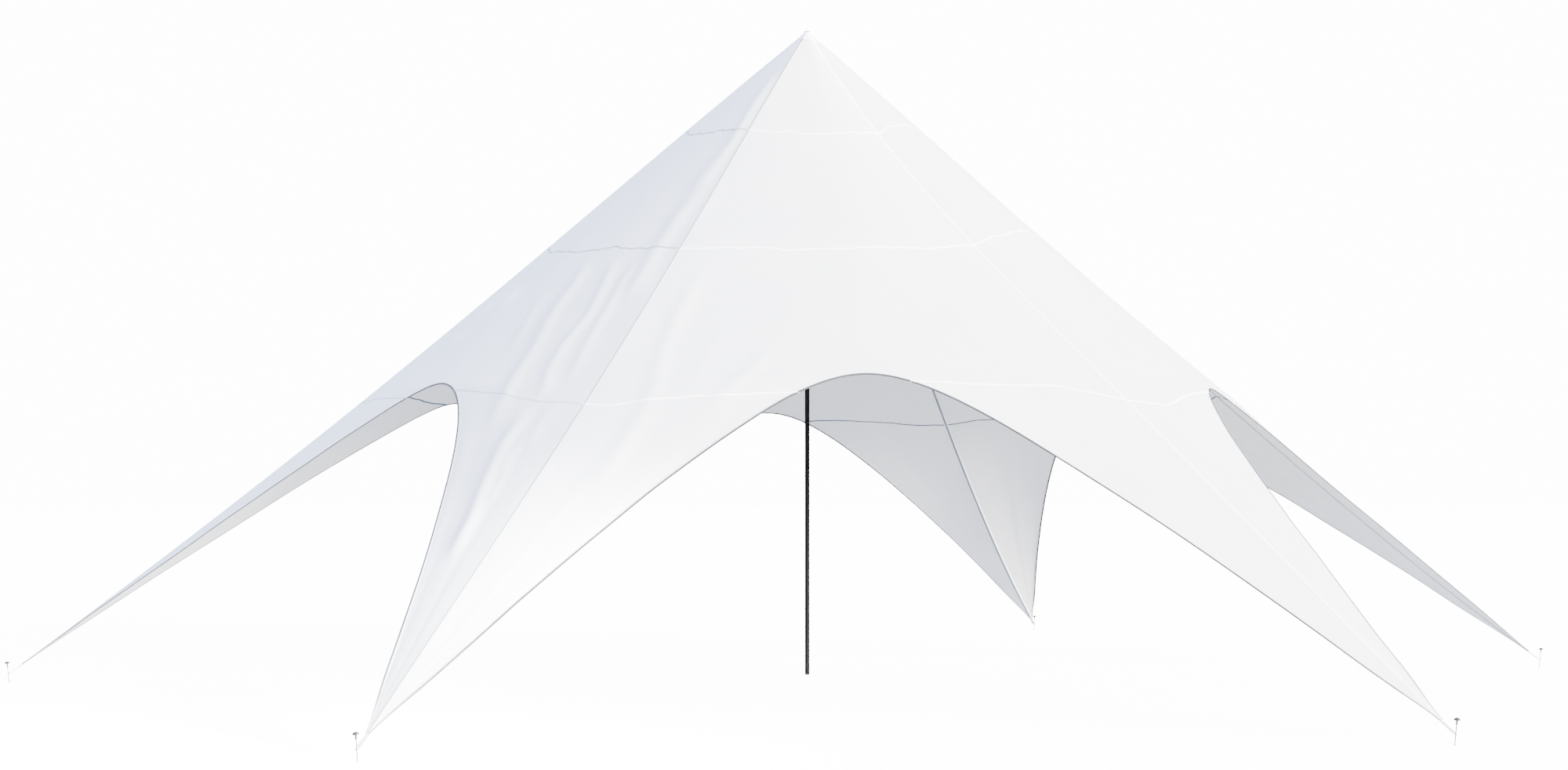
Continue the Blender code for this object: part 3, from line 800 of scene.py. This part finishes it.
# Copies of one webbing that differ by painted light: white as sunlit, pale, and dark grey as shade.
WEBBING_SUNLIT_WHITE, WEBBING_PALE, WEBBING_SHADED_GREY = (
    stitched_material("ridge_webbing_" + tint, colour, stitches, WEBBING_RIBS, underside_shade=RIDGE_UNDERSIDE_SHADE)
    for tint, colour, stitches in (("white", (0.96, 0.96, 0.965), BROAD_WELT_STITCHES),
                                   ("pale", (0.73, 0.73, 0.74), THIN_WELT_STITCHES),
                                   ("shaded_grey", (0.17, 0.175, 0.19), THIN_WELT_STITCHES)))
# The sunlit white copy goes to the front right ridge, the painted shade copy to the front left.
RIDGE_FINISHES = {"front_right": WEBBING_SUNLIT_WHITE, "front_left": WEBBING_SHADED_GREY}


def ridge_profile(arm_name):
    """Section of a ridge: the welt above the cloth, and the flat webbing under it."""
    welt, stand = WELTS.get(arm_name, PLAIN_WELT)
    points = [(out * welt, up * stand) for out, up in WELT_SECTION]
    points += [(out * WEBBING_HALF_WIDTH, -HALF_CLOTH - down * WEBBING_DEPTH)
               for out, down in WEBBING_SECTION]
    return np.array(points + points[:1])


def ridge_sides(arm):
    """The ridge line, and on each side of it the way down the cloth, its normal and its width."""
    row = np.concatenate([np.linspace(RIDGE_TOP_ROW, 1, RIDGE_STATIONS * 2 // 3),
                          np.linspace(1, TIP_ROW, RIDGE_STATIONS // 3)[1:]])
    sides = []
    for gore, side in ((arm, -1), ((arm - 1) % len(ARMS), 1)):
        ridge = cloth_place(gore, side, row, np.ones(len(row)))
        width = np.linalg.norm(cloth_place(gore, side, row, np.zeros(len(row))) - ridge, axis=1)
        near = np.minimum(BESIDE_RIDGE / width, 0.4)
        beside = cloth_place(gore, side, row, 1 - near) - ridge
        way, _ = line_ways(ridge)
        beside = unit(beside - way * np.sum(beside * way, axis=1, keepdims=True))
        sides.append((beside, facing_up(np.cross(beside, way)), width))
    return ridge, sides


for arm, arm_name in enumerate(ARMS):
    ridge, ((first_way, first_normal, width), (second_way, second_normal, _)) = ridge_sides(arm)
    _, run = line_ways(ridge)
    profile = ridge_profile(arm_name)
    middle_normal = unit(first_normal + second_normal)
    room = np.minimum(1, width / FULL_WIDTH_ROOM)

    def lay(corner, station):
        offset = profile[corner, 0] * room[station]
        on_first = (offset < 0)[:, None]
        beside = np.where(on_first, first_way[station], second_way[station])
        normal = np.where(on_first, first_normal[station], second_normal[station])
        rounded = np.clip(np.abs(offset) / WELT_ROUNDING, 0, 1)[:, None]
        normal = normal * rounded + middle_normal[station] * (1 - rounded)
        places = ridge[station] + beside * np.abs(offset)[:, None] + normal * profile[corner, 1:]
        return places, band_measures(profile, corner, run[station])

    name = "ridge_webbing_" + arm_name
    mesh = rolled_band(name, profile, ridge, lay)
    new_piece(name + "_sewn", mesh, RIDGE_FINISHES.get(arm_name, WEBBING_PALE), "white_webbing", [name])


# Arch hems. Each doorway's edge is turned over a cord and sewn down, 22 mm deep. The cord keeps
# the edge taut, so the turned cloth bunches in short puckers. A dark band 16 mm wide along the
# edge is painted shadow of the turned hem.
HEM_CORD_RADIUS = 0.0045
HEM_DEPTH = 0.022
HEM_TURNING = 0.0009
HEM_HALF_LENGTH = 4.6
HEM_STATION = 0.008
HEM_SMOOTHING = 12
HEM_TIP_SHARE = 0.3
HEM_TIP_LENGTH = 0.5
PUCKER_PITCH = 0.023
PUCKER_HEIGHT = 0.0012
PUCKER_RISE = 0.012
# The dark edge colour is painted shadow along the hem.
HEM_CLOTH_EDGE_SHADOW = stitched_material("hem_with_painted_edge_shadow", (0.63, 0.635, 0.65), (0.0135, 0.019), 300,
                              edge=(0.0115, (0.035, 0.036, 0.039)))


def arch_line(gore):
    """The cloth's edge round the arch, from the first arm's tip to the second's, and its normals."""
    row = 1 + (TIP_ROW - 1) * np.linspace(0, 1, round(HEM_HALF_LENGTH / HEM_STATION)) ** 1.15
    return whole_line([cloth_frames(gore, side, row, np.zeros(len(row))) for side in (-1, 1)])


def hem_profile():
    """A cord in a turned edge: round outside, and two flat layers that hold the cloth between."""
    flat = HALF_CLOTH + HEM_TURNING
    layer = [(HEM_DEPTH, 0), (HEM_DEPTH - 0.001, flat), (HEM_DEPTH * 0.6, flat), (0.0095, flat)]
    angles = [math.radians(50 + 260 * i / 8) for i in range(9)]
    cord = [(HEM_CORD_RADIUS * math.cos(angle), HEM_CORD_RADIUS * math.sin(angle)) for angle in angles]
    return np.array(layer + cord + [(out, -up) for out, up in reversed(layer)])


profile = hem_profile()
window = np.ones(2 * HEM_SMOOTHING + 1) / (2 * HEM_SMOOTHING + 1)
for gore, gore_name in enumerate(GORES):
    line, normals = arch_line(gore)
    padded = np.pad(normals, ((HEM_SMOOTHING, HEM_SMOOTHING), (0, 0)), mode="edge")
    smooth = unit(np.stack([np.convolve(axis, window, "valid") for axis in padded.T], axis=-1))
    ways, run = line_ways(line)
    inward = np.cross(smooth, ways)
    if inward[len(line) // 2, :2] @ swung(1, 0, middle_angle(gore)) > 0:
        inward = -inward
    from_tip = np.minimum(run, run[-1] - run)
    taper = HEM_TIP_SHARE + (1 - HEM_TIP_SHARE) * smooth_step(from_tip / HEM_TIP_LENGTH)
    pucker = np.sin(2 * math.pi * run / PUCKER_PITCH + 1.5 * np.sin(run * 5))
    pucker *= PUCKER_HEIGHT * (0.55 + 0.45 * np.sin(run * 3.1 + gore) * np.sin(run * 7.7))

    def lay(corner, station):
        offset, lift = profile[corner].T
        raised = lift + pucker[station] * smooth_step(offset / PUCKER_RISE)
        places = (line[station] + inward[station] * (offset * taper[station])[:, None]
                  + smooth[station] * raised[:, None])
        return places, np.stack([offset, run[station]], axis=-1)

    name = "arch_hem_" + gore_name
    mesh = rolled_band(name, profile, line, lay)
    sewn_on[gore_name].append(new_piece(name + "_turned", mesh, HEM_CLOTH_EDGE_SHADOW, "hem_cloth", [name]))


# Apex collar. A short sleeve of webbing cloth gathered round the mast under a narrow band, with a
# skirt that is sewn down on the cloth and follows its six sides.
COLLAR_SLEEVE = [(0.0218, 5.8330), (0.0240, 5.8348), (0.0275, 5.8350), (0.0298, 5.8338),
                 (0.0302, 5.8322), (0.0312, 5.8316), (0.0315, 5.8290), (0.0306, 5.8278)]
COLLAR_SKIRT = [(0.0320, 0.0040), (0.0360, 0.0030), (0.0450, 0.0026), (0.0600, 0.0024),
                (0.0760, 0.0024), (0.0900, 0.0022), (0.0985, 0.0018), (0.1000, 0.0010)]
COLLAR_HUG_RADIUS = 0.03
COLLAR_TIGHT_RADIUS = 0.024
COLLAR_PLEAT_HEIGHT = 0.0010
COLLAR_PLEAT_SWELL = 0.020
COLLAR_COLUMNS = 16
COLLAR_THICKNESS = 0.0016
TRIAL_ROW = 0.02
COLLAR_WHITE = stitched_material("collar_webbing_white", (0.87, 0.885, 0.92), (0.020, 0.080), 300)


def on_neck(gore, side, across, radius):
    """The cloth's place at a distance from the mast, close to its top."""
    trial = cloth_place(gore, side, np.full(across.shape, TRIAL_ROW), across)
    return cloth_place(gore, side, TRIAL_ROW * radius / np.hypot(trial[:, 0], trial[:, 1]), across)


def collar_patch(gore, side):
    """A twelfth of the collar, over half a gore."""
    profile = np.array(COLLAR_SLEEVE + COLLAR_SKIRT)
    run = np.concatenate([[0], np.cumsum(np.abs(np.diff(profile[:, 0])) + 0.001)])
    middle = middle_angle(gore)

    def where(u, v):
        corner = nearest_index(v, profile)
        radius = profile[corner, 0]
        laid = on_neck(gore, side, u, np.maximum(radius, COLLAR_HUG_RADIUS))
        out, aside = swung(laid[:, 0], laid[:, 1], -middle)
        angle = middle + np.arctan2(aside, out)
        loose = np.clip((radius - COLLAR_TIGHT_RADIUS) / 0.02, 0, 1)
        pleat = 0.6 * np.sin(22 * angle) + 0.4 * np.sin(36 * angle + 1.3)
        height = np.where(corner < len(COLLAR_SLEEVE), 0, laid[:, 2]) + profile[corner, 1]
        height += COLLAR_PLEAT_HEIGHT * pleat * loose * (0.11 - radius) / 0.08
        radius = radius * (1 + COLLAR_PLEAT_SWELL * pleat * loose * (1 - 0.6 * loose))
        places = np.stack([radius * np.cos(angle), radius * np.sin(angle), height], axis=-1)
        return places, np.stack([run[corner], angle * 0.031], axis=-1)

    return grid_mesh("patch", COLLAR_COLUMNS, len(profile) - 1, where)


patches = [collar_patch(gore, side) for gore in range(len(GORES)) for side in (-1, 1)]
sheet_piece("apex_collar_gathered", patches, COLLAR_WHITE, "white_webbing", "apex_collar", COLLAR_THICKNESS)


# Mast. Three lengths of 42 mm steel tube, powder-coated satin black, each swaged at its top to
# plug into the next. Only a fine chamfered line shows at each joint.
MAST_RADIUS = 0.0212
MAST_WALL = 0.002
MAST_BORE = MAST_RADIUS - MAST_WALL
MAST_TOP = 5.836
MAST_FOOT_TOP = 0.0123
MAST_JOINTS = (1.95, 3.89)
MAST_CHAMFER = 0.0008
MAST_SIDES = 56
SWAGE_LENGTH = 0.10
SEATED_GAP = 0.0003


def turned_mesh(name, profile, sides, closed=False):
    """A solid turned about the mast's axis from a profile of (radius, height)."""
    lathe = bmesh.new()
    points = [lathe.verts.new((radius, 0, height)) for radius, height in profile]
    edges = [lathe.edges.new(pair) for pair in zip(points, points[1:])]
    if closed:
        edges.append(lathe.edges.new((points[-1], points[0])))
    bmesh.ops.spin(lathe, geom=points + edges, cent=(0, 0, 0), axis=(0, 0, 1),
                   angle=2 * math.pi, steps=sides, use_merge=True)
    bmesh.ops.remove_doubles(lathe, verts=lathe.verts, dist=BAND_WELD)
    bmesh.ops.recalc_face_normals(lathe, faces=lathe.faces)
    return made_mesh(name, lathe)


def painted_steel():
    """Satin black powder coat: fine orange peel, rubbed places and dust low down."""
    material, tree, shader = fresh_material("mast_satin_black")
    place = object_place(tree)
    drawn = add_node("Mapping", Vector=place, Scale=(60, 60, 2.2)).outputs[0]
    rubs = noise(drawn, 1.6, Detail=5.0, Roughness=0.7)
    dust = product(ramp(split(place)[2], 0.0, 0.35, 0.5, 0.0), rubs)
    rubbed = ramp(rubs, 0.60, 0.72, 0.0, 0.6)
    paint = mixed_colour(rubbed, (0.0016, 0.0016, 0.0018), (0.0040, 0.0040, 0.0042))
    set_node(shader, Base_Color=mixed_colour(dust, paint, (0.030, 0.028, 0.026)),
             Roughness=ramp(rubs, 0.3, 0.7, 0.52, 0.66), Specular_IOR_Level=0.12,
             Normal=bumped(noise(place, 420.0, Detail=1.0), 0.00006, 0.30))
    return material


def tube_profile(bottom, top, swaged):
    """Half of a tube's section, with chamfered ends and, if swaged, a narrower plug above."""
    rim = MAST_RADIUS - MAST_CHAMFER
    outer = [(MAST_BORE, bottom), (rim, bottom), (MAST_RADIUS, bottom + MAST_CHAMFER)]
    outer += [(MAST_RADIUS, bottom + (top - bottom) * i / 8) for i in range(1, 8)]
    outer += [(MAST_RADIUS, top - MAST_CHAMFER), (rim, top)]
    if not swaged:
        return outer + [(MAST_BORE, top)]
    neck = MAST_BORE - SEATED_GAP
    return outer + [(neck, top), (neck, top + SWAGE_LENGTH), (neck - MAST_WALL, top + SWAGE_LENGTH),
                    (neck - MAST_WALL, top - MAST_WALL), (MAST_BORE, top - MAST_WALL)]


MAST_BLACK = painted_steel()
lower_joint, upper_joint = MAST_JOINTS
TUBES = (("mast_lower_tube", MAST_FOOT_TOP, lower_joint, True),
         ("mast_middle_tube", lower_joint + SEATED_GAP, upper_joint, True),
         ("mast_upper_tube", upper_joint + SEATED_GAP, MAST_TOP, False))
for node, bottom, top, swaged in TUBES:
    mesh = turned_mesh(node + "_coated", tube_profile(bottom, top, swaged), MAST_SIDES, closed=True)
    new_piece(node + "_coated", mesh, MAST_BLACK, "black_paint", [node])


# Mast foot and cap. The foot is a moulded rubber plug with a ribbed rim that the mast stands on.
# The cap is a grey plastic plug with a rounded disc over the tube's open end.
GROOVE_TOPS = (0.0082, 0.0040)
GROOVE = ((0.0212, 0), (0.0206, 0.0006), (0.0206, 0.0018), (0.0212, 0.0024))
FOOT_PROFILE = [(0, 0.062), (0.0186, 0.062), (0.0189, 0.0600), (0.0189, 0.0122), (0.0200, 0.0121),
                (0.0209, 0.0112), (0.0212, 0.0100),
                *((radius, top - down) for top in GROOVE_TOPS for radius, down in GROOVE),
                (0.0210, 0.0003), (0.0204, 0), (0, 0)]
CAP_SEAT = MAST_TOP + SEATED_GAP
CAP_SECTION = ((0, 0.0140), (0.0150, 0.0138), (0.0205, 0.0128), (0.0236, 0.0106), (0.0248, 0.0078),
               (0.0250, 0.0050), (0.0250, 0.0010), (0.0242, 0), (0.0189, 0), (0.0189, -0.048),
               (0.0180, -0.05), (0, -0.05))
CAP_PROFILE = [(radius, CAP_SEAT + up) for radius, up in CAP_SECTION]


def moulded_material(name, colour, roughness, grain):
    """Moulded plastic or rubber with a fine grain, a little scuffed and dusty."""
    material, tree, shader = fresh_material(name)
    place = object_place(tree)
    scuffs = noise(place, 45.0, Detail=5.0, Roughness=0.7)
    worn = ramp(scuffs, 0.52, 0.75, 0.0, 1.0)
    pale = tuple(channel * 0.7 + 0.03 for channel in colour)
    set_node(shader, Base_Color=mixed_colour(worn, colour, pale),
             Roughness=ramp(scuffs, 0.3, 0.7, roughness, roughness + 0.18), Specular_IOR_Level=0.4,
             Normal=bumped(noise(place, grain, Detail=2.0), 0.0002, 0.4))
    return material


FOOT_RUBBER = moulded_material("foot_black_rubber", (0.012, 0.012, 0.012), 0.68, 700.0)
CAP_GREY = moulded_material("cap_grey_plastic", (0.22, 0.225, 0.235), 0.45, 500.0)
for name, profile, finish, slot, node in (
        ("mast_foot_plug", FOOT_PROFILE, FOOT_RUBBER, "foot_rubber", "mast_foot"),
        ("mast_cap_disc", CAP_PROFILE, CAP_GREY, "cap_plastic", "mast_cap")):
    new_piece(name, turned_mesh(name, profile, MAST_SIDES), finish, slot, [node])


# Corner straps. A flat webbing strap is sewn under each arm's tip and drawn down to the stake. It
# is narrow at the tip, splays again and parts round the rod. Its woven edges are grey.
STRAP_THICKNESS = 0.0024
STRAP_DROP = 0.0046
STRAP_TAB_LENGTH = 0.10
STRAP_TAB_HALF_WIDTH = 0.0155
STRAP_TAB_LEVEL_SHARE = 0.78
STRAP_WAIST_HALF_WIDTH = 0.0120
STRAP_SPLAY = ((0.045, 0.0170), (0.028, 0.0160))
STRAP_SLIT = 0.035
STRAP_EYE_RADII = (0.0050, 0.0095)
STRAP_COLUMNS = 6
STRAP_ROWS = 96
STRAP_WHITE = stitched_material("strap_webbing_white", (0.62, 0.625, 0.63), (0.006,), WEBBING_RIBS,
                                edge=(0.0032, (0.10, 0.103, 0.11)))


def turned_to_arm(arm, places):
    """Points drawn along +X, turned to lie along an arm."""
    x, y = swung(places[:, 0], places[:, 1], 2 * HALF_STEP * arm)
    return np.stack([x, y, places[:, 2]], axis=-1)


def strap_edges(reach):
    """Inner and outer edge of half a strap, laid flat, with the stake at the origin."""
    start = -reach - STRAP_TAB_LENGTH
    (far, splay), (near, rounded) = STRAP_SPLAY
    inner = [(start, 0), (-reach, 0), (-far, 0), (-STRAP_SLIT, 0)]
    outer = [(start, STRAP_TAB_HALF_WIDTH), (-reach, STRAP_WAIST_HALF_WIDTH)]
    outer += [(-far, splay), (-near, rounded)]
    for degrees in (90, 68, 45, 22, 0):
        for edge, radius in zip((inner, outer), STRAP_EYE_RADII):
            edge.append(swung(radius, 0, math.radians(degrees)))
    return np.array(inner), np.array(outer)


def strap_half(arm, side):
    """Half of a strap, on the side of the gore whose side is given."""
    gore = arm if side < 0 else (arm - 1) % len(ARMS)
    tip_radius = float(ridge_radius(np.array(TIP_ROW)))
    ridge = cloth_place(gore, side, TIP_ROW, 1.0)
    hem = cloth_place(gore, side, TIP_ROW, 0.0)
    fall = (ridge[2] - hem[2]) / math.dist(ridge[:2], hem[:2])
    run = STAKE_CIRCLE - tip_radius
    rise = ridge[2] - STRAP_DROP - STRAP_HEIGHT
    reach = math.hypot(run, rise)
    inner, outer = strap_edges(reach)
    corners = np.arange(len(inner))

    def where(u, v):
        at = v * corners[-1]
        first, last = (np.stack([np.interp(at, corners, edge[:, k]) for k in (0, 1)], axis=-1)
                       for edge in (inner, outer))
        along, beside = (first + (last - first) * u[:, None]).T
        on_tab = along < -reach
        x = np.where(on_tab, tip_radius + (along + reach) * STRAP_TAB_LEVEL_SHARE,
                     STAKE_CIRCLE + along * run / reach)
        z = np.where(on_tab, ridge_height(ARMS[arm], x) - STRAP_DROP, STRAP_HEIGHT - along * rise / reach)
        z -= fall * beside * (1 - smooth_step((along + reach) / (0.6 * reach)))
        places = turned_to_arm(arm, np.stack([x, -side * beside, z], axis=-1))
        return places, np.stack([np.linalg.norm(last - first, axis=1) * (1 - u), along], axis=-1)

    return grid_mesh("half", STRAP_COLUMNS, STRAP_ROWS, where)


for arm, arm_name in enumerate(ARMS):
    name = "corner_strap_" + arm_name
    sheet_piece(name + "_webbing", [strap_half(arm, -1), strap_half(arm, 1)], STRAP_WHITE,
                "white_webbing", name, STRAP_THICKNESS)


# Stakes. A thin zinc-coated steel rod driven in leaning away from the tent, under a black
# moulded head like a mushroom: a domed cap with a turned-down rim on a stem with a flared foot.
STAKE_LEAN = math.radians(6)
SHAFT_RADIUS = 0.0035
SHAFT_PROFILE = [(0, 0.160), (0.0031, 0.160), (SHAFT_RADIUS, 0.1594), (SHAFT_RADIUS, 0.12),
                 (SHAFT_RADIUS, 0.08), (SHAFT_RADIUS, 0.04), (SHAFT_RADIUS, 0), (0, 0)]
SHAFT_SIDES = 24
HEAD_PROFILE = [(0, 0.1860), (0.0040, 0.1858), (0.0060, 0.1854), (0.0064, 0.1848), (0.0070, 0.1850),
                (0.0105, 0.1838), (0.0150, 0.1812), (0.0188, 0.1776), (0.0212, 0.1736),
                (0.0223, 0.1702), (0.0225, 0.1686), (0.0219, 0.1680), (0.0208, 0.1688),
                (0.0180, 0.1716), (0.0130, 0.1738), (0.0090, 0.1732), (0.0070, 0.1700),
                (0.0059, 0.1640), (0.0057, 0.1560), (0.0060, 0.1480), (0.0066, 0.1440),
                (0.0076, 0.1425), (0.0077, 0.1408), (0.0072, 0.1400), (0.0038, 0.1400),
                (0.0038, 0.1615), (0, 0.1620)]
HEAD_SIDES = 40


def zinc_steel():
    """Dull zinc-coated rod: drawn along its length, with a little earth near the ground."""
    material, tree, shader = fresh_material("stake_zinc_steel")
    place = object_place(tree)
    drawn = add_node("Mapping", Vector=place, Scale=(700, 700, 30)).outputs[0]
    streaks = noise(drawn, 1.0, Detail=4.0)
    earth = product(ramp(split(place)[2], 0.0, 0.05, 0.8, 0.0), streaks)
    zinc = mixed_colour(streaks, (0.11, 0.112, 0.118), (0.06, 0.061, 0.065))
    set_node(shader, Base_Color=mixed_colour(earth, zinc, (0.08, 0.066, 0.052)),
             Roughness=ramp(streaks, 0.3, 0.7, 0.38, 0.55), Metallic=1.0,
             Normal=bumped(streaks, 0.0002, 0.3))
    return material


STAKE_ZINC = zinc_steel()
HEAD_BLACK = moulded_material("stake_head_black", (0.010, 0.010, 0.011), 0.40, 900.0)


def set_in_place(mesh, arm, sheared):
    """Lean a turned stake piece outwards about the strap's height and set it at an arm's stake."""
    flat = np.empty(len(mesh.vertices) * 3)
    mesh.vertices.foreach_get("co", flat)
    out, aside, up = flat.reshape(-1, 3).T
    up = up - STRAP_HEIGHT
    if sheared:
        out = out + math.tan(STAKE_LEAN) * up
    else:
        out, up = swung(out, up, -STAKE_LEAN)
    places = np.stack([STAKE_CIRCLE + out, aside, STRAP_HEIGHT + up], axis=-1)
    mesh.vertices.foreach_set("co", turned_to_arm(arm, places).ravel())
    mesh.update()


ROD = ("stake_rod_", "stake_shaft_", SHAFT_PROFILE, SHAFT_SIDES, STAKE_ZINC, "stake_steel")
HEAD = ("stake_mushroom_", "stake_head_", HEAD_PROFILE, HEAD_SIDES, HEAD_BLACK, "black_plastic")
for arm, arm_name in enumerate(ARMS):
    for name, node, profile, sides, finish, slot in (ROD, HEAD):
        mesh = turned_mesh(name + arm_name, profile, sides)
        set_in_place(mesh, arm, sheared=name == "stake_rod_")
        new_piece(name + arm_name, mesh, finish, slot, [node + arm_name])
